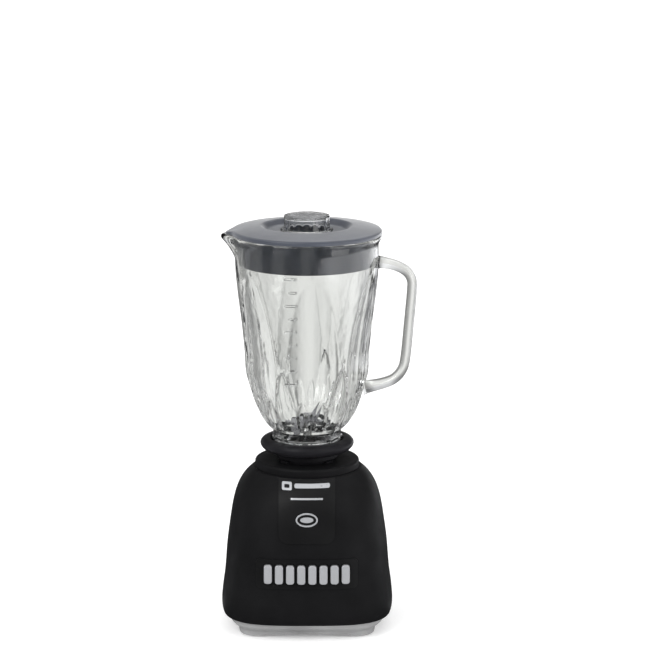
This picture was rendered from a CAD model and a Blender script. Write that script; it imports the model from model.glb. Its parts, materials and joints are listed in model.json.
"""Countertop blender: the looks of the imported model. Metres, +Z up, front towards -Y."""
import json
import math

import bmesh
import bpy
import numpy as np
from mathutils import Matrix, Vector


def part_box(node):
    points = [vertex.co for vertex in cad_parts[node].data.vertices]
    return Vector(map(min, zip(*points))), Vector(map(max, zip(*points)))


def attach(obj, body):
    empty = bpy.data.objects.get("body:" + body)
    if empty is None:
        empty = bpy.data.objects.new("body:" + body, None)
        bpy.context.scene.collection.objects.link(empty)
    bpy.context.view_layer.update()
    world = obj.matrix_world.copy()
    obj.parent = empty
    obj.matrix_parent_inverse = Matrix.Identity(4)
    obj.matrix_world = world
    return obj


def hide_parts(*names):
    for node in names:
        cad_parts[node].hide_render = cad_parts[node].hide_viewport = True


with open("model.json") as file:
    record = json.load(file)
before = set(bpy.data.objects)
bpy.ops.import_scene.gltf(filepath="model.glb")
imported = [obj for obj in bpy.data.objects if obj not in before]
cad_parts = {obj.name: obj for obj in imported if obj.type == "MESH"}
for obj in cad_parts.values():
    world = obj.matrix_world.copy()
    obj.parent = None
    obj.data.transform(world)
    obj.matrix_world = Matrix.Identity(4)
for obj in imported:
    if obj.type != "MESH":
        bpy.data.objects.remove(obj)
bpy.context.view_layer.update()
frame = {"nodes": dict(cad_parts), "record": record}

MM = 0.001


def middle(node):
    low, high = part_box(node)
    return (low + high) / 2


AXIS = middle("gasket").x                 # the drive axis stands at this x
JAR_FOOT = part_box("glass_jar")[0].z
JAR_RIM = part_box("glass_jar")[1].z
LEFT, FRONT = math.pi, -math.pi / 2       # azimuths of the spout and of the keys


# --- camera, floor and light ---------------------------------------------------------------
VIEW_TILT = math.radians(12.0)
VIEW_DISTANCE = 2.5
VIEW_LENS, FILM_WIDTH = 164.15, 36.0      # mm
AIM_HEIGHT = 0.261
AIM_SIDE = 0.0132                         # the drive axis is a little left of the picture's middle
LIT_HEIGHT = 0.22                         # the lights point at the drive axis at this height

LIGHTS = (                                # name, place, width, height, watts
    ("key_light", (-1.5, -1.9, 1.9), 1.6, 1.6, 34.0),
    ("fill_light", (1.9, -1.3, 1.2), 1.3, 1.8, 16.0),
    ("back_light", (0.5, 2.2, 2.4), 1.8, 0.8, 9.0),
)
WHITE = 1.0, 1.0, 1.0
SEEN_LEVEL = 1.06                         # brightness of the surroundings for the eye
BAND_COUNT, BAND_SHARPNESS = 8.0, 1.6     # bright stretches that clear surfaces see
SKY_BANDS, FLOOR_BANDS = (0.18, 0.98), (0.24, 0.86)
ROOM_LEVEL, FLOOR_LEVEL = 0.025, 0.12     # what glossy surfaces see of the room and of the floor
CEILING_LEVEL, CEILING_EDGES = 0.8, (0.4, 0.95)
WALL_LEVEL, WALL_SIDES, WALL_TOP = 0.5, (0.5, 0.9), (0.10, 0.24)
STRIP_EDGES = 0.14, 0.24, 0.36, 0.48      # sine of the angle behind the blender's sides
SKY_STRIP_LEVEL, FLOOR_STRIP_LEVEL = 0.9, 0.7
PATCH_LEVEL, PATCH_EDGES = 2.6, (0.35, 0.9, 2.4, 3.4)
FLOOR_REACH = 40.0
FLOOR_GLOW = 0.17                         # keeps the paper white round the blender's shadow


def make_camera():
    data = bpy.data.cameras.new("camera")
    data.sensor_width = FILM_WIDTH
    data.lens = VIEW_LENS
    data.clip_start, data.clip_end = 0.05, 100.0
    camera = bpy.data.objects.new("camera", data)
    bpy.context.scene.collection.objects.link(camera)
    aim = Vector((AXIS + AIM_SIDE, 0.0, AIM_HEIGHT))
    back = Vector((0.0, -math.cos(VIEW_TILT), math.sin(VIEW_TILT)))
    camera.location = aim + back * VIEW_DISTANCE
    camera.rotation_mode = "QUATERNION"
    camera.rotation_quaternion = (-back).to_track_quat("-Z", "Y")
    bpy.context.scene.camera = camera


def area_light(name, place, width, height, power):
    data = bpy.data.lights.new(name, "AREA")
    data.shape = "RECTANGLE"
    data.size, data.size_y = width, height
    data.energy = power
    light = bpy.data.objects.new(name, data)
    bpy.context.scene.collection.objects.link(light)
    light.location = place
    light.rotation_mode = "QUATERNION"
    aim = Vector((AXIS, 0.0, LIT_HEIGHT))
    light.rotation_quaternion = (aim - Vector(place)).to_track_quat("-Z", "Y")
    light.visible_camera = False


def make_lights():
    for row in LIGHTS:
        area_light(*row)


class Graph:
    """Node tree with short calls for the nodes that the shaders are made of. A value is a number or
    another node's output."""

    def __init__(self, tree):
        self.tree = tree

    def node(self, kind, **settings):
        made = self.tree.nodes.new(kind)
        for key, value in settings.items():
            setattr(made, key, value)
        return made

    def link(self, start, end):
        self.tree.links.new(start, end)

    def feed(self, socket, value):
        if isinstance(value, (int, float)):
            socket.default_value = value
        else:
            self.link(value, socket)

    def calculate(self, operation, *values):
        made = self.node("ShaderNodeMath", operation=operation)
        for socket, value in zip(made.inputs, values):
            self.feed(socket, value)
        return made.outputs[0]

    def parts(self, vector):
        """The x, y and z of a vector output."""
        made = self.node("ShaderNodeSeparateXYZ")
        self.link(vector, made.inputs[0])
        return made.outputs[0], made.outputs[1], made.outputs[2]

    def ray(self, kind):
        return self.node("ShaderNodeLightPath").outputs[kind]

    def fade(self, value, start, end):
        """0 below start, 1 above end, smooth between."""
        made = self.node("ShaderNodeMapRange", interpolation_type="SMOOTHSTEP")
        self.link(value, made.inputs["Value"])
        made.inputs["From Min"].default_value = start
        made.inputs["From Max"].default_value = end
        return made.outputs[0]

    def between(self, share, first, second):
        mix = self.node("ShaderNodeMixShader")
        self.link(share, mix.inputs[0])
        self.link(first, mix.inputs[1])
        self.link(second, mix.inputs[2])
        return mix.outputs[0]

    def glow(self, kind, level, tint):
        """Background or Emission shader of one tint at a level."""
        made = self.node(kind)
        made.inputs["Color"].default_value = (*tint, 1.0)
        self.feed(made.inputs["Strength"], level)
        return made.outputs[0]

    def distance(self, x, y):
        return self.calculate("SQRT", self.calculate("MULTIPLY_ADD", x, x, self.calculate("MULTIPLY", y, y)))

    def window(self, value, start, full, still_full, end):
        """1 between full and still_full, 0 before start and after end."""
        kept = self.calculate("SUBTRACT", 1.0, self.fade(value, still_full, end))
        return self.calculate("MULTIPLY", self.fade(value, start, full), kept)

    def bands(self, x, y, dark, bright):
        """Bright stretches round the compass, with the first one at +X."""
        turned = self.calculate("MULTIPLY", self.calculate("ARCTAN2", y, x), BAND_COUNT)
        wave = self.calculate("MULTIPLY_ADD", self.calculate("COSINE", turned), 0.5, 0.5)
        share = self.calculate("POWER", wave, BAND_SHARPNESS)
        return self.calculate("MULTIPLY_ADD", share, bright - dark, dark)

    def side_strips(self, x, y):
        """1 in two upright strips a little behind the blender's left and right, 0 elsewhere."""
        behind = self.calculate("DIVIDE", y, self.distance(x, y))
        return self.window(behind, *STRIP_EDGES)

    def seen_by(self, plain, gloss, clear):
        """One shader for eyes and matt surfaces, one for reflections and one through glass. Rays that go
        through glass count as glossy too, so they are told apart last."""
        shader = self.between(self.ray("Is Glossy Ray"), plain, gloss)
        return self.between(self.ray("Is Transmission Ray"), shader, clear)


def make_world():
    """White for the eye and for matt surfaces. Clear surfaces see bright and dark stretches round
    the compass, which draw the edges of the glass, and glossy ones a dark room with a bright ceiling,
    two side strips and a pale wall behind."""
    world = bpy.data.worlds.new("studio")
    bpy.context.scene.world = world
    world.use_nodes = True
    world.node_tree.nodes.clear()
    graph = Graph(world.node_tree)
    x, y, z = graph.parts(graph.node("ShaderNodeTexCoord").outputs["Generated"])
    kind = "ShaderNodeBackground"
    plain = graph.glow(kind, SEEN_LEVEL, WHITE)
    clear = graph.glow(kind, graph.bands(x, y, *SKY_BANDS), (0.98, 0.985, 1.0))
    ceiling = graph.calculate("MULTIPLY_ADD", graph.fade(z, *CEILING_EDGES), CEILING_LEVEL, ROOM_LEVEL)
    sides = graph.calculate("MULTIPLY_ADD", graph.side_strips(x, y), SKY_STRIP_LEVEL, ceiling)
    low = graph.calculate("SUBTRACT", 1.0, graph.fade(z, *WALL_TOP))
    wall = graph.calculate("MULTIPLY", graph.fade(y, *WALL_SIDES), low)
    gloss = graph.glow(kind, graph.calculate("MULTIPLY_ADD", wall, WALL_LEVEL, sides), WHITE)
    graph.link(graph.seen_by(plain, gloss, clear), graph.node("ShaderNodeOutputWorld").inputs["Surface"])


def make_floor():
    """White paper; in glass it shows as grey with bright stretches, and in glossy surfaces as grey
    with two side strips and one bright patch to the right of the blender."""
    mesh = bpy.data.meshes.new("floor")
    corners = [(x * FLOOR_REACH, y * FLOOR_REACH, 0.0) for x, y in ((-1, -1), (1, -1), (1, 1), (-1, 1))]
    mesh.from_pydata(corners, [], [(0, 1, 2, 3)])
    floor = bpy.data.objects.new("floor", mesh)
    bpy.context.scene.collection.objects.link(floor)
    kit = Surface("floor_paper", colour=(0.94, 0.94, 0.94), roughness=0.9)
    kit.vary_colour((0.935, 0.935, 0.935), (0.945, 0.945, 0.945), kit.noise(8.0, 2.0))
    kit.set("Emission Color", (*WHITE, 1.0))
    kit.set("Emission Strength", FLOOR_GLOW)
    x, y, _ = kit.parts(kit.place)
    kind = "ShaderNodeEmission"
    clear = kit.glow(kind, kit.bands(x, y, *FLOOR_BANDS), (1.0, 1.0, 0.98))
    patch = kit.calculate("MULTIPLY", kit.window(x, *PATCH_EDGES), PATCH_LEVEL)
    strips = kit.calculate("MULTIPLY_ADD", kit.side_strips(x, y), FLOOR_STRIP_LEVEL, FLOOR_LEVEL)
    gloss = kit.glow(kind, kit.calculate("ADD", patch, strips), (0.96, 0.97, 1.0))
    shader = kit.seen_by(kit.shader.outputs[0], gloss, clear)
    kit.link(shader, kit.tree.nodes["Material Output"].inputs["Surface"])
    floor.data.materials.append(kit.material)


def set_up_render():
    scene = bpy.context.scene
    scene.view_settings.view_transform = "Standard"
    scene.view_settings.look = "None"
    cycles = scene.cycles
    cycles.use_denoising = True
    cycles.max_bounces = 24
    cycles.transmission_bounces = 20
    cycles.transparent_max_bounces = 16
    cycles.glossy_bounces = 8
    cycles.diffuse_bounces = 4
    cycles.caustics_reflective = False
    cycles.caustics_refractive = True
    cycles.sample_clamp_indirect = 4.0


# --- materials -----------------------------------------------------------------------------
class Surface(Graph):
    """A Principled material with a few texture helpers. Textures use object coordinates, in metres."""

    def __init__(self, name, colour, roughness, metallic=0.0, **sockets):
        self.material = bpy.data.materials.new(name)
        self.material.use_nodes = True
        super().__init__(self.material.node_tree)
        self.shader = self.tree.nodes["Principled BSDF"]
        self.set("Base Color", (*colour, 1.0))
        self.set("Roughness", roughness)
        self.set("Metallic", metallic)
        for socket, value in sockets.items():
            self.set(socket.replace("_", " "), value)
        self.place = self.node("ShaderNodeTexCoord").outputs["Object"]

    def set(self, socket, value):
        self.shader.inputs[socket].default_value = value

    def stretched(self, x, y, z):
        """Object coordinates scaled along each axis."""
        mapping = self.node("ShaderNodeMapping")
        mapping.inputs["Scale"].default_value = (x, y, z)
        self.link(self.place, mapping.inputs["Vector"])
        return mapping.outputs[0]

    def noise(self, scale, detail, place=None):
        made = self.node("ShaderNodeTexNoise")
        made.inputs["Scale"].default_value = scale
        made.inputs["Detail"].default_value = detail
        self.link(place or self.place, made.inputs["Vector"])
        return made.outputs["Fac"]

    def turned_place(self, turns, rings, height):
        """Coordinates round the drive axis: (angle, radius, height), each scaled."""
        shifted = self.node("ShaderNodeVectorMath", operation="SUBTRACT")
        shifted.inputs[1].default_value = (AXIS, 0.0, 0.0)
        self.link(self.place, shifted.inputs[0])
        x, y, z = self.parts(shifted.outputs[0])
        joined = self.node("ShaderNodeCombineXYZ")
        self.link(self.calculate("MULTIPLY", self.calculate("ARCTAN2", y, x), turns), joined.inputs[0])
        self.link(self.calculate("MULTIPLY", self.distance(x, y), rings), joined.inputs[1])
        self.link(self.calculate("MULTIPLY", z, height), joined.inputs[2])
        return joined.outputs[0]

    def mapped(self, value, low, high, start=0.3, end=0.7):
        """low to high while value goes from start to end. Most of a noise lies between the defaults."""
        made = self.node("ShaderNodeMapRange")
        for socket, number in (("From Min", start), ("From Max", end), ("To Min", low), ("To Max", high)):
            made.inputs[socket].default_value = number
        self.link(value, made.inputs["Value"])
        return made.outputs[0]

    def vary_roughness(self, low, high, value):
        self.link(self.mapped(value, low, high), self.shader.inputs["Roughness"])

    def vary_colour(self, first, second, value):
        mix = self.node("ShaderNodeMix", data_type="RGBA")
        self.link(self.mapped(value, 0.0, 1.0), mix.inputs["Factor"])
        mix.inputs["A"].default_value = (*first, 1.0)
        mix.inputs["B"].default_value = (*second, 1.0)
        colour = next(output for output in mix.outputs if output.type == "RGBA")
        self.link(colour, self.shader.inputs["Base Color"])

    def bumps(self, *heights):
        """Chain of bumps: each is (value, depth in metres)."""
        normal = None
        for value, depth in heights:
            made = self.node("ShaderNodeBump")
            made.inputs["Strength"].default_value = 1.0
            made.inputs["Distance"].default_value = depth
            self.link(value, made.inputs["Height"])
            if normal:
                self.link(normal, made.inputs["Normal"])
            normal = made.outputs[0]
        self.link(normal, self.shader.inputs["Normal"])


def tinted(colour, factor):
    return [min(1.0, part * factor) for part in colour]


def moulded(name, colour, roughness, grain=1400.0, depth=0.00003, **sockets):
    """Moulded plastic: fine grain, faint flow marks and slightly uneven gloss."""
    kit = Surface(name, colour, roughness, **sockets)
    kit.vary_colour(tinted(colour, 0.86), tinted(colour, 1.18), kit.noise(35.0, 4.0))
    kit.vary_roughness(roughness - 0.06, roughness + 0.06, kit.noise(60.0, 5.0))
    kit.bumps((kit.noise(grain, 2.0), depth), (kit.noise(22.0, 2.0), 0.00012))
    return kit.material


def rubbery(name, colour, roughness=0.75):
    kit = Surface(name, colour, roughness, Specular_IOR_Level=0.35)
    kit.vary_colour(colour, tinted(colour, 1.35), kit.noise(90.0, 5.0))
    kit.vary_roughness(roughness - 0.1, roughness + 0.1, kit.noise(120.0, 4.0))
    kit.bumps((kit.noise(2200.0, 2.0), 0.00005), (kit.noise(150.0, 3.0), 0.00008))
    return kit.material


def turned_metal(name, colour, roughness, rings=9000.0, metallic=0.85, satin_top=None):
    """Metal with the fine rings of a lathe or a polishing wheel round the drive axis. Faces that look
    up can be satin, which makes them less of a mirror."""
    kit = Surface(name, colour, roughness, metallic=metallic)
    if satin_top is not None:
        upward = kit.parts(kit.node("ShaderNodeNewGeometry").outputs["Normal"])[2]
        kit.link(kit.mapped(upward, metallic, satin_top, 0.85, 0.98), kit.shader.inputs["Metallic"])
    lines = kit.noise(1.0, 3.0, kit.turned_place(0.8, rings, 900.0))
    cloud = kit.noise(70.0, 4.0)
    kit.vary_colour(tinted(colour, 0.86), colour, cloud)
    mixed = kit.calculate("MULTIPLY_ADD", lines, 0.6, kit.calculate("MULTIPLY", cloud, 0.4))
    kit.vary_roughness(roughness - 0.07, roughness + 0.09, mixed)
    kit.bumps((lines, 0.000012))
    return kit.material


def ground_steel(name, colour, roughness):
    """Blade steel with straight grinding marks and a few scratches."""
    kit = Surface(name, colour, roughness, metallic=0.93)
    marks = kit.noise(1.0, 3.0, kit.stretched(5200.0, 5200.0, 400.0))
    scratches = kit.noise(1.0, 2.0, kit.stretched(260.0, 9000.0, 900.0))
    kit.vary_colour(tinted(colour, 0.8), colour, kit.noise(160.0, 5.0))
    kit.vary_roughness(roughness - 0.08, roughness + 0.12, marks)
    kit.bumps((marks, 0.00001), (scratches, 0.000008))
    return kit.material


def laminated(name, colour):
    """Stack of thin iron sheets."""
    kit = Surface(name, colour, 0.5, metallic=0.8)
    sheets = kit.noise(1.0, 0.0, kit.stretched(12.0, 12.0, 2000.0))
    kit.vary_colour(tinted(colour, 0.6), colour, sheets)
    kit.vary_roughness(0.4, 0.65, kit.noise(200.0, 4.0))
    kit.bumps((sheets, 0.00008))
    return kit.material


def wound(name, colour):
    """Enamelled wire, turn beside turn."""
    kit = Surface(name, colour, 0.3, metallic=0.7, Coat_Weight=0.6)
    turns = kit.noise(1.0, 1.0, kit.stretched(900.0, 900.0, 1800.0))
    kit.vary_colour(tinted(colour, 0.55), colour, turns)
    kit.vary_roughness(0.22, 0.42, kit.noise(300.0, 3.0))
    kit.bumps((turns, 0.0002))
    return kit.material


def silver_paint(name, colour, roughness, metallic=0.25):
    """Silver paint with fine flakes under a thin clear coat."""
    kit = Surface(name, colour, roughness, metallic=metallic, Coat_Weight=0.35, Coat_Roughness=0.18)
    kit.vary_colour(tinted(colour, 0.9), tinted(colour, 1.08), kit.noise(6000.0, 1.0))
    kit.vary_roughness(roughness - 0.05, roughness + 0.07, kit.noise(180.0, 4.0))
    kit.bumps((kit.noise(900.0, 2.0), 0.00001))
    return kit.material


def pressed_glass():
    """Clear soda glass with the faint waves that pressing leaves."""
    kit = Surface("pressed_glass", (0.972, 0.980, 0.972), 0.0, Transmission_Weight=1.0, IOR=1.5)
    waves = kit.noise(1.0, 2.0, kit.turned_place(3.2, 26.0, 34.0))
    kit.vary_roughness(0.0, 0.025, kit.noise(90.0, 3.0))
    kit.bumps((waves, 0.0007), (kit.noise(240.0, 2.0), 0.00003))
    return kit.material


def clear_plastic():
    """Clear styrene with faint flow lines."""
    kit = Surface("clear_plastic", (0.97, 0.975, 0.98), 0.02, Transmission_Weight=1.0, IOR=1.57)
    flow = kit.noise(1.0, 2.0, kit.turned_place(4.0, 60.0, 60.0))
    kit.vary_roughness(0.01, 0.05, kit.noise(140.0, 3.0))
    kit.bumps((flow, 0.0003))
    return kit.material


def make_materials():
    """One material for each material slot of the record."""
    return {
        "black_plastic": moulded("black_plastic", (0.0066, 0.0066, 0.0072), 0.5, Specular_IOR_Level=0.08),
        "black_gloss": moulded("black_gloss", (0.0062, 0.0062, 0.0066), 0.42, grain=500.0, depth=0.000008,
                               Specular_IOR_Level=0.16),
        "collar_plastic": moulded("collar_plastic", (0.0105, 0.0102, 0.0120), 0.38, Specular_IOR_Level=0.12),
        "grey_plastic": moulded("grey_plastic", (0.29, 0.29, 0.292), 0.48, Specular_IOR_Level=0.3),
        "lid_plastic": moulded("lid_plastic", (0.052, 0.058, 0.075), 0.34, grain=1100.0, depth=0.00002,
                               Specular_IOR_Level=0.4, Sheen_Weight=0.5, Sheen_Roughness=0.4),
        "fan_plastic": moulded("fan_plastic", (0.08, 0.08, 0.08), 0.55),
        "phenolic": moulded("phenolic", (0.05, 0.03, 0.02), 0.5),
        "film_case": moulded("film_case", (0.5, 0.36, 0.05), 0.35),
        "carbon": rubbery("carbon", (0.02, 0.02, 0.02), 0.6),
        "foot_rubber": rubbery("foot_rubber", (0.035, 0.035, 0.036)),
        "gland_rubber": rubbery("gland_rubber", (0.018, 0.018, 0.018)),
        "seal_rubber": rubbery("seal_rubber", (0.044, 0.045, 0.043), 0.55),
        "key_plastic": silver_paint("key_plastic", (0.37, 0.375, 0.39), 0.36),
        "silver_trim": silver_paint("silver_trim", (0.46, 0.47, 0.49), 0.3, metallic=0.4),
        "stainless": turned_metal("stainless", (0.54, 0.54, 0.535), 0.16, metallic=0.95, satin_top=0.25),
        "coupling_steel": silver_paint("coupling_steel", (0.99, 0.99, 0.99), 0.4, metallic=0.0),
        "bearing_steel": turned_metal("bearing_steel", (0.65, 0.65, 0.65), 0.22),
        "zinc_steel": turned_metal("zinc_steel", (0.6, 0.6, 0.56), 0.38, rings=2500.0),
        "bronze": turned_metal("bronze", (0.55, 0.36, 0.16), 0.4),
        "commutator_copper": turned_metal("commutator_copper", (0.75, 0.38, 0.22), 0.25),
        "blade_steel": ground_steel("blade_steel", (0.52, 0.52, 0.54), 0.22),
        "lamination_iron": laminated("lamination_iron", (0.26, 0.26, 0.27)),
        "enamelled_copper": wound("enamelled_copper", (0.62, 0.22, 0.08)),
        "jar_glass": pressed_glass(),
        "clear_plastic": clear_plastic(),
    }


def dress_cad_nodes(materials):
    for part in frame["record"]["subparts"]:
        node = frame["nodes"][part["node"]]
        for place in node.material_slots:
            place.material = materials[part["material_slot"]]


# --- meshes --------------------------------------------------------------------------------
def new_piece(name, mesh, body, slot, materials, replaced):
    piece = bpy.data.objects.new(name, mesh)
    bpy.context.scene.collection.objects.link(piece)
    mesh.materials.append(materials[slot])
    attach(piece, body)
    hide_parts(*replaced)


def grid_mesh(name, points, poles=None):
    """Closed mesh from rows of rings. Two poles close its ends; without them the last row joins the
    first."""
    rows, columns = points.shape[:2]
    vertices = [tuple(point) for point in points.reshape(-1, 3)]
    faces = []
    for row in range(rows - 1 if poles else rows):
        here, above = row * columns, (row + 1) % rows * columns
        for column in range(columns):
            side = (column + 1) % columns
            faces.append((here + column, here + side, above + side, above + column))
    for pole, row in zip(poles or (), (0, rows - 1)):
        for column in range(columns):
            faces.append((len(vertices), row * columns + (column + 1) % columns, row * columns + column))
        vertices.append(pole)
    mesh = bpy.data.meshes.new(name)
    mesh.from_pydata(vertices, [], faces)
    turned = bmesh.new()
    turned.from_mesh(mesh)
    bmesh.ops.recalc_face_normals(turned, faces=turned.faces)
    turned.to_mesh(mesh)
    turned.free()
    mesh.shade_smooth()
    return mesh


def around_axis(radii, heights):
    """Points of a grid from radii of shape (rows, columns) and heights to go with them, in mm."""
    columns = radii.shape[1]
    angle = np.arange(columns) * 2 * np.pi / columns
    heights = np.broadcast_to(heights, radii.shape)
    return np.stack([AXIS + radii * MM * np.cos(angle), radii * MM * np.sin(angle), heights * MM], axis=-1)


def rounded_outline(corners, steps):
    """Outline of (radius, height, rounding) corners, with steps short lines round each rounded one."""
    outline = []
    count = len(corners)
    for index, (radius, height, rounding) in enumerate(corners):
        here = np.array((radius, height))
        if rounding <= 0:
            outline.append(here)
            continue
        before = np.array(corners[index - 1][:2]) - here
        after = np.array(corners[(index + 1) % count][:2]) - here
        reach = min(rounding, 0.49 * np.linalg.norm(before), 0.49 * np.linalg.norm(after))
        start = here + before / np.linalg.norm(before) * reach
        end = here + after / np.linalg.norm(after) * reach
        for step in range(steps + 1):
            share = step / steps
            outline.append(start * (1 - share) ** 2 + here * 2 * share * (1 - share) + end * share ** 2)
    return np.array(outline)


def smooth_step(value, low, high):
    share = np.clip((value - low) / (high - low), 0.0, 1.0)
    return share * share * (3 - 2 * share)


def soft_window(value, start, full, still_full, end):
    """1 between full and still_full, 0 before start and after end."""
    return smooth_step(value, start, full) * (1 - smooth_step(value, still_full, end))


def curve_at(points, heights):
    """Smooth radius at each height through (radius, height) points (cubic pieces)."""
    radius, height = np.array(points, float).T
    step = np.diff(height)
    slope = np.diff(radius) / step
    tangent = np.zeros_like(radius)
    tangent[1:-1] = (slope[:-1] * step[1:] + slope[1:] * step[:-1]) / (step[:-1] + step[1:])
    tangent[0], tangent[-1] = slope[0], slope[-1]
    index = np.clip(np.searchsorted(height, heights) - 1, 0, len(step) - 1)
    share = (heights - height[index]) / step[index]
    share2, share3 = share ** 2, share ** 3
    near = (2 * share3 - 3 * share2 + 1) * radius[index]
    near = near + (share3 - 2 * share2 + share) * step[index] * tangent[index]
    far = (3 * share2 - 2 * share3) * radius[index + 1]
    return near + far + (share3 - share2) * step[index] * tangent[index + 1]


# --- jar -----------------------------------------------------------------------------------
JAR_COLUMNS = 400
JAR_OUTSIDE = (                           # (radius, height above the foot) in mm
    (29.0, 14.0), (30.4, 15.0), (33.2, 17.4), (39.0, 24.2), (45.5, 35.1), (49.3, 47.0), (51.7, 58.9),
    (53.2, 82.5), (55.4, 106.0), (58.9, 134.8), (60.6, 153.6), (60.6, 172.6),
)
JAR_INSIDE = (
    (23.0, 13.0), (25.3, 14.6), (29.2, 18.4), (35.0, 25.4), (41.6, 36.4), (45.5, 48.0), (48.0, 59.6),
    (49.6, 82.6), (51.8, 106.3), (55.4, 135.0), (57.6, 153.8), (57.8, 172.6),
)
JAR_BEAD = (
    (60.7, 174.0), (61.0, 175.4), (61.5, 176.7), (62.1, 177.9), (62.75, 179.1), (63.2, 180.2), (63.3, 181.0),
    (63.15, 181.8), (62.7, 182.4), (62.0, 182.85), (61.2, 183.0),
)
JAR_MOUTH = (
    (57.8, 176.0), (57.8, 179.4), (57.95, 180.8), (58.4, 182.0), (59.0, 182.7), (59.7, 183.05), (59.9, 184.0),
)
WALL_TOP_ROW, JAR_TOP = 172.6, 183.0
NECK_RADIUS, THREAD_HEIGHT = 29.0, 1.0
THREAD_LOWS = 2.2, 6.0                    # where the two thread rings start
BORE_RADIUS = 23.0
SPOUT_LOW, SPOUT_OUT = 160.0, 9.4         # where it starts, and how far it reaches past the rim
SPOUT_HALF = np.radians(10.5)
BAR_COUNT, BAR_LOW, BAR_PITCH = 9, 62.0, 11.5
BAR_RAISED = 0.75
BAR_EDGES = -0.3, 0.2, 1.4, 1.9           # heights from a bar's low edge: start, full, still full, end
BAR_ROWS = -0.35, -0.05, 0.25, 1.35, 1.65, 1.95
BAR_NEAR, LONG_BAR, SHORT_BAR = 9.0, 18.0, 14.5
PANEL_COUNT = 6                           # flutes, and ridges between them
FLUTE_TIP, FLUTE_RISE = 153.0, 72.0
FLUTE_MIDDLE, FLUTE_HALF = np.radians(276.0), np.radians(24.0)
FLUTE_FADE, FLUTE_ROUNDING = (17.0, 46.0), 0.16     # no flute below the first height
CREASE = 0.9
PETALS = (                                # azimuth and half width in degrees, top, depth
    (306.0, 12.5, 72.0, 2.6), (286.0, 7.0, 46.0, 1.8), (266.0, 7.0, 46.0, 1.8),
)
PETAL_WIDEST = 34.0                       # height below which a petal gets no wider
PETAL_FADE, PETAL_ROUNDING = (17.0, 24.0), 0.24
INSIDE_SHARE = 0.6                        # share of the dents' depth that the inside follows
HANDLE_LINE = (                           # (distance from the axis, height) along the handle's middle
    (57.4, 158.6), (66.0, 157.8), (76.0, 155.2), (84.4, 150.4), (88.7, 143.4), (89.0, 134.0), (86.6, 106.0),
    (83.9, 77.0), (81.2, 65.6), (74.2, 57.4), (63.0, 52.8), (47.6, 49.4),
)
HANDLE_HALF_WIDE, HANDLE_HALF_THICK = 7.4, 4.25
HANDLE_FLARE_WIDE, HANDLE_FLARE_THICK = 2.4, 2.0
HANDLE_FLARE_LENGTHS = 5.0, 6.5           # at its upper and its lower end
HANDLE_ROUNDNESS = 0.82                   # 1 is an ellipse, 0 a rectangle
HANDLE_ROWS, HANDLE_COLUMNS = 120, 40
JAR_SHARP = math.radians(38)              # edges turned more than this stay sharp


def softened(value, rounding):
    """The positive part of value, with its corner rounded."""
    return rounding * np.logaddexp(0.0, value / rounding)


def from_centre(angle, first, count):
    """Angle from the nearest of evenly spaced centres, in radians."""
    pitch = 2 * np.pi / count
    return (angle - first + pitch / 2) % pitch - pitch / 2


def flute_depth(radius, height, angle):
    """Flat-bottomed panels with pointed arches for tops and a crease down the middle."""
    offset = from_centre(angle, FLUTE_MIDDLE, PANEL_COUNT)
    below = np.clip(FLUTE_TIP - height, 0.0, None)
    half = FLUTE_HALF * np.clip(below / FLUTE_RISE, 0.0, 1.0) ** 0.4
    depth = radius * (1.0 - np.cos(half) / np.cos(offset))
    crease = CREASE * np.clip(1.0 - np.abs(offset) / np.maximum(half, 0.05), 0.0, 1.0)
    run_out = 0.25 * np.clip(height - FLUTE_TIP + 2.0, 0.0, None)
    return softened(depth + crease - run_out, FLUTE_ROUNDING) * smooth_step(height, *FLUTE_FADE)


def petal_depth(height, angle):
    """Leaf-shaped dents where the wall curves in to the neck: long ones on the ridges, short ones below
    the flutes."""
    total = 0.0
    for azimuth, reach, top, deepest in PETALS:
        offset = from_centre(angle, np.radians(azimuth), PANEL_COUNT)
        below = np.clip(top - height, 0.0, None)
        half = np.radians(reach) * np.clip(below / (top - PETAL_WIDEST), 0.0, 1.0) ** 0.6 + 1e-4
        run_out = 0.2 * np.clip(height - top + 1.0, 0.0, None)
        depth = deepest * (1.0 - (offset / half) ** 2) - run_out
        total = total + softened(np.maximum(depth, -4.0), PETAL_ROUNDING)
    return total * smooth_step(height, *PETAL_FADE)


def spout_push(height, angle):
    """How far the wall leans out at the spout."""
    across = np.exp(-(from_centre(angle, LEFT, 1) / SPOUT_HALF) ** 2)
    return SPOUT_OUT * across * smooth_step(height, SPOUT_LOW, JAR_TOP - 2.0)


def jar_surface(points, shaped):
    """Grid of the jar's wall through (radius, height) rows. shaped is the share of the dents' depth."""
    radii, heights = np.array(points, float).T
    angle = np.arange(JAR_COLUMNS) * 2 * np.pi / JAR_COLUMNS
    radius, height = radii[:, None], heights[:, None]
    angle = np.broadcast_to(angle, (len(radii), JAR_COLUMNS))
    dents = shaped * (flute_depth(radius, height, angle) + petal_depth(height, angle))
    return radius - dents + spout_push(height, angle), height, angle


def jar_shell(name, radius, height, low, high):
    """Closed mesh of a jar's surface, with its ends closed at two heights on the axis, in mm."""
    points = around_axis(radius, height) + np.array((0, 0, JAR_FOOT))
    poles = [(AXIS, 0.0, JAR_FOOT + end * MM) for end in (low, high)]
    return grid_mesh(name, points, poles)


def bar_lows():
    return [BAR_LOW + BAR_PITCH * number for number in range(BAR_COUNT)]


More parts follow.
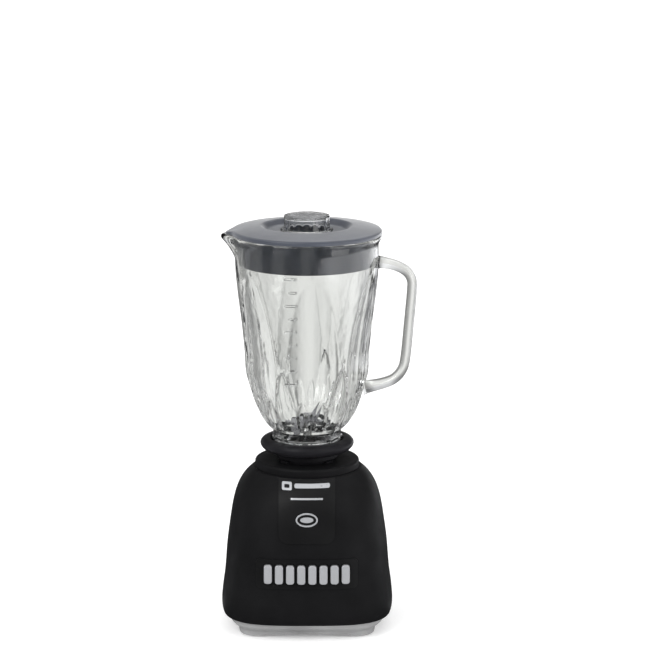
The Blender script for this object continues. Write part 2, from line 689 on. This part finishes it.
def raised_bars(height, angle, radius):
    """The measuring scale: plain bars on the front, every other one short."""
    across = -radius * np.sin(angle - FRONT)
    raised = np.zeros(np.broadcast(height, angle).shape)
    for number, low in enumerate(bar_lows()):
        far = SHORT_BAR if number % 2 else LONG_BAR
        tall = soft_window(height, *[low + up for up in BAR_EDGES])
        wide = soft_window(across, BAR_NEAR - 0.6, BAR_NEAR + 0.2, far - 0.2, far + 0.6)
        raised = raised + BAR_RAISED * tall * wide
    return raised * (np.cos(angle - FRONT) > 0)


def jar_heights():
    """Heights of the outside's rows: close together where the shape needs it."""
    rows = [*np.linspace(14.6, 34.0, 16), *np.linspace(35.5, 60.0, 15)]
    for low in bar_lows():
        rows += [low + up for up in BAR_ROWS]
        rows += [*np.linspace(low + 3.6, low + BAR_PITCH - 2.2, 4)]
    rows += [*np.linspace(164.0, WALL_TOP_ROW, 5)]
    return np.array(sorted(rows))


def jar_outside():
    heights = jar_heights()
    wall = list(zip(curve_at(JAR_OUTSIDE, heights), heights))
    neck = [(28.2, 0.0), (28.75, 0.25), (NECK_RADIUS, 0.8)]
    for low in THREAD_LOWS:
        for out, up in ((0, 0), (0.5, 0.4), (1, 0.9), (1, 1.6), (0.5, 2.1), (0, 2.6)):
            neck.append((NECK_RADIUS + out * THREAD_HEIGHT, low + up))
    neck += [(NECK_RADIUS, 11.5), (29.05, 13.4), (29.25, 14.1)]
    radius, height, angle = jar_surface([*neck, *wall, *JAR_BEAD], 1.0)
    radius = radius + raised_bars(height, angle, radius)
    return jar_shell("jar_outside", radius, height, 0.0, JAR_TOP)


def jar_inside():
    bowl = [*np.linspace(13.2, 30.0, 12), *np.linspace(32.0, 62.0, 16)]
    heights = np.array([*bowl, *np.linspace(66.0, 156.0, 26), 162.0, 167.0, WALL_TOP_ROW])
    wall = list(zip(curve_at(JAR_INSIDE, heights), heights))
    bore = [(BORE_RADIUS, height) for height in (-1.0, 4.0, 9.0, 12.4)]
    radius, height, _ = jar_surface([*bore, *wall, *JAR_MOUTH], INSIDE_SHARE)
    return jar_shell("jar_inside", radius, height, -1.0, JAR_TOP + 1.0)


def smooth_path(points, count):
    """Evenly spaced points on a smooth curve through points (Catmull-Rom), and their places along it."""
    points = np.array(points, float)
    padded = np.vstack([2 * points[0] - points[1], points, 2 * points[-1] - points[-2]])
    samples = []
    for index in range(1, len(padded) - 2):
        p0, p1, p2, p3 = padded[index - 1:index + 3]
        for share in np.linspace(0, 1, 24, endpoint=False):
            t2, t3 = share ** 2, share ** 3
            samples.append(0.5 * (2 * p1 + (p2 - p0) * share + (2 * p0 - 5 * p1 + 4 * p2 - p3) * t2
                                  + (3 * p1 - p0 - 3 * p2 + p3) * t3))
    samples.append(padded[-2])
    samples = np.array(samples)
    length = np.concatenate([[0], np.cumsum(np.linalg.norm(np.diff(samples, axis=0), axis=1))])
    even = np.linspace(0, length[-1], count)
    path = np.column_stack([np.interp(even, length, samples[:, axis]) for axis in range(2)])
    return path, even


def jar_handle():
    """Bar of a rounded section swept along the handle's line, wider where it meets the wall."""
    path, place = smooth_path(HANDLE_LINE, HANDLE_ROWS)
    along = np.gradient(path, axis=0)
    along /= np.linalg.norm(along, axis=1)[:, None]
    out = np.column_stack([-along[:, 1], along[:, 0]])
    upper, lower = HANDLE_FLARE_LENGTHS
    flare = np.exp(-place / upper) + np.exp(-(place[-1] - place) / lower)
    turn = np.arange(HANDLE_COLUMNS) * 2 * np.pi / HANDLE_COLUMNS
    wide, thick = [np.sign(part) * np.abs(part) ** HANDLE_ROUNDNESS for part in (np.cos(turn), np.sin(turn))]
    offset = (HANDLE_HALF_THICK + HANDLE_FLARE_THICK * flare)[:, None] * thick
    x = path[:, :1] + out[:, :1] * offset
    z = path[:, 1:] + out[:, 1:] * offset
    y = (HANDLE_HALF_WIDE + HANDLE_FLARE_WIDE * flare)[:, None] * wide
    points = np.stack([AXIS + x * MM, y * MM, JAR_FOOT + z * MM], axis=-1)
    poles = [(AXIS + path[end][0] * MM, 0.0, JAR_FOOT + path[end][1] * MM) for end in (0, -1)]
    return grid_mesh("jar_handle", points, poles)


def combined(first, second, operation):
    """Mesh of a boolean of two closed meshes."""
    holders = []
    for mesh in (first, second):
        holder = bpy.data.objects.new(mesh.name, mesh)
        bpy.context.scene.collection.objects.link(holder)
        holders.append(holder)
    modifier = holders[0].modifiers.new("combined", "BOOLEAN")
    modifier.operation = operation
    modifier.solver = "MANIFOLD"
    modifier.object = holders[1]
    graph = bpy.context.evaluated_depsgraph_get()
    made = bpy.data.meshes.new_from_object(holders[0].evaluated_get(graph), depsgraph=graph)
    for holder in holders:
        mesh = holder.data
        bpy.data.objects.remove(holder)
        bpy.data.meshes.remove(mesh)
    return made


def make_jar(materials):
    solid = combined(jar_outside(), jar_handle(), "UNION")
    mesh = combined(solid, jar_inside(), "DIFFERENCE")
    mesh.materials.clear()
    mesh.shade_smooth()
    mesh.set_sharp_from_angle(angle=JAR_SHARP)
    new_piece("jar_pressed", mesh, "jar", "jar_glass", materials, ["glass_jar"])


# --- lid, cap and gasket -------------------------------------------------------------------
LID_COLUMNS, ROUND_COLUMNS = 256, 192
LID_OUTLINE = (                           # (radius, height above the jar's rim, rounding) in mm
    (20.7, 2.6, 0.5), (34.0, 2.6, 1.6), (37.4, 6.5, 1.2), (38.8, 7.25, 0.9), (42.0, 7.0, 1.4),
    (52.0, 5.8, 3.0), (62.2, 4.0, 0.8), (63.6, 3.0, 0.8), (63.6, 0.0, 0.5), (57.3, 0.0, 0.5),
    (57.2, -6.0, 0.0), (57.2, -16.0, 0.0), (57.2, -24.4, 0.4), (56.5, -25.5, 0.4), (55.2, -25.5, 0.4),
    (55.2, -16.0, 0.0), (55.2, -6.0, 0.0), (55.2, 2.9, 0.8), (52.0, 3.5, 0.5), (42.0, 4.65, 1.4),
    (39.2, 4.95, 0.8), (34.9, 0.3, 0.6), (22.9, 0.3, 0.5), (22.9, -6.3, 0.3), (20.7, -6.3, 0.3),
)
TONGUE_REACH, TONGUE_HALF = 4.9, np.radians(7.0)
TONGUE_RADII = 58.0, 63.4                 # it grows out of the lid's edge between these
TONGUE_FLATTENING = 0.45
GASKET_HOLE, GASKET_RADIUS, GASKET_ROUNDING = 23.2, 30.2, 1.0
CAP_SEAT = 2.6                            # the cap's ring above the jar's rim
CAP_OUTLINE = (                           # (radius, height above the seat, rounding) in mm
    (17.0, -13.2, 0.4), (19.0, -13.2, 0.4), (19.0, 0.0, 0.3), (22.4, 0.0, 0.4), (22.4, 1.5, 0.4),
    (19.6, 1.5, 0.5), (19.6, 13.2, 1.2), (10.0, 13.2, 0.0), (0.5, 13.2, 0.0), (0.5, 11.0, 0.0),
    (10.0, 11.0, 0.0), (17.0, 11.0, 1.2),
)
FACET_COUNT, FACET_DEPTH = 16, 1.35
FACET_HEIGHTS, FACET_RADII = (1.4, 3.0), (17.2, 18.6)
LID_SHARP, CAP_SHARP = math.radians(50), math.radians(40)


def make_lid(materials):
    """Moulded lid: wide shallow dish round the cap's hole, deep skirt and a tongue over the spout."""
    outline = rounded_outline(LID_OUTLINE, steps=6)
    angle = np.arange(LID_COLUMNS) * 2 * np.pi / LID_COLUMNS
    tongue = np.exp(-(from_centre(angle, LEFT, 1) / TONGUE_HALF) ** 2)
    edge = smooth_step(outline[:, 0], *TONGUE_RADII)
    push = edge[:, None] * tongue[None, :]
    radius = outline[:, :1] + TONGUE_REACH * push
    height = outline[:, 1:] * (1.0 - TONGUE_FLATTENING * push)
    points = around_axis(radius, height) + np.array((0, 0, JAR_RIM))
    mesh = grid_mesh("lid_moulded", points)
    mesh.set_sharp_from_angle(angle=LID_SHARP)
    new_piece("lid_moulded", mesh, "lid", "lid_plastic", materials, ["lid"])


def make_gasket(materials):
    low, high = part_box("gasket")
    half = (high.z - low.z) / MM / 2
    sides = ((GASKET_HOLE, -half), (GASKET_RADIUS, -half), (GASKET_RADIUS, half), (GASKET_HOLE, half))
    outline = rounded_outline([(*corner, GASKET_ROUNDING) for corner in sides], steps=6)
    radii = np.repeat(outline[:, :1], ROUND_COLUMNS, axis=1)
    points = around_axis(radii, outline[:, 1:]) + np.array((0, 0, (low.z + high.z) / 2))
    mesh = grid_mesh("gasket_moulded", points)
    new_piece("gasket_moulded", mesh, "gasket", "seal_rubber", materials, ["gasket"])


def make_cap(materials):
    """Clear cup with soft facets above its ring."""
    outline = rounded_outline(CAP_OUTLINE, steps=5)
    angle = np.arange(ROUND_COLUMNS) * 2 * np.pi / ROUND_COLUMNS
    offset = from_centre(angle, 0.0, FACET_COUNT)
    faceting = 1.0 - np.cos(np.pi / FACET_COUNT) / np.cos(offset)
    grip = smooth_step(outline[:, 1], *FACET_HEIGHTS) * smooth_step(outline[:, 0], *FACET_RADII)
    radius = outline[:, :1] * (1.0 - FACET_DEPTH * grip[:, None] * faceting[None, :])
    points = around_axis(radius, outline[:, 1:]) + np.array((0, 0, JAR_RIM + CAP_SEAT * MM))
    mesh = grid_mesh("cap_clear", points)
    mesh.set_sharp_from_angle(angle=CAP_SHARP)
    new_piece("cap_clear", mesh, "cap", "clear_plastic", materials, ["filler_cap"])


# --- scene ---------------------------------------------------------------------------------
materials = make_materials()
dress_cad_nodes(materials)
make_jar(materials)
make_lid(materials)
make_gasket(materials)
make_cap(materials)
make_floor()
make_world()
make_lights()
make_camera()
set_up_render()
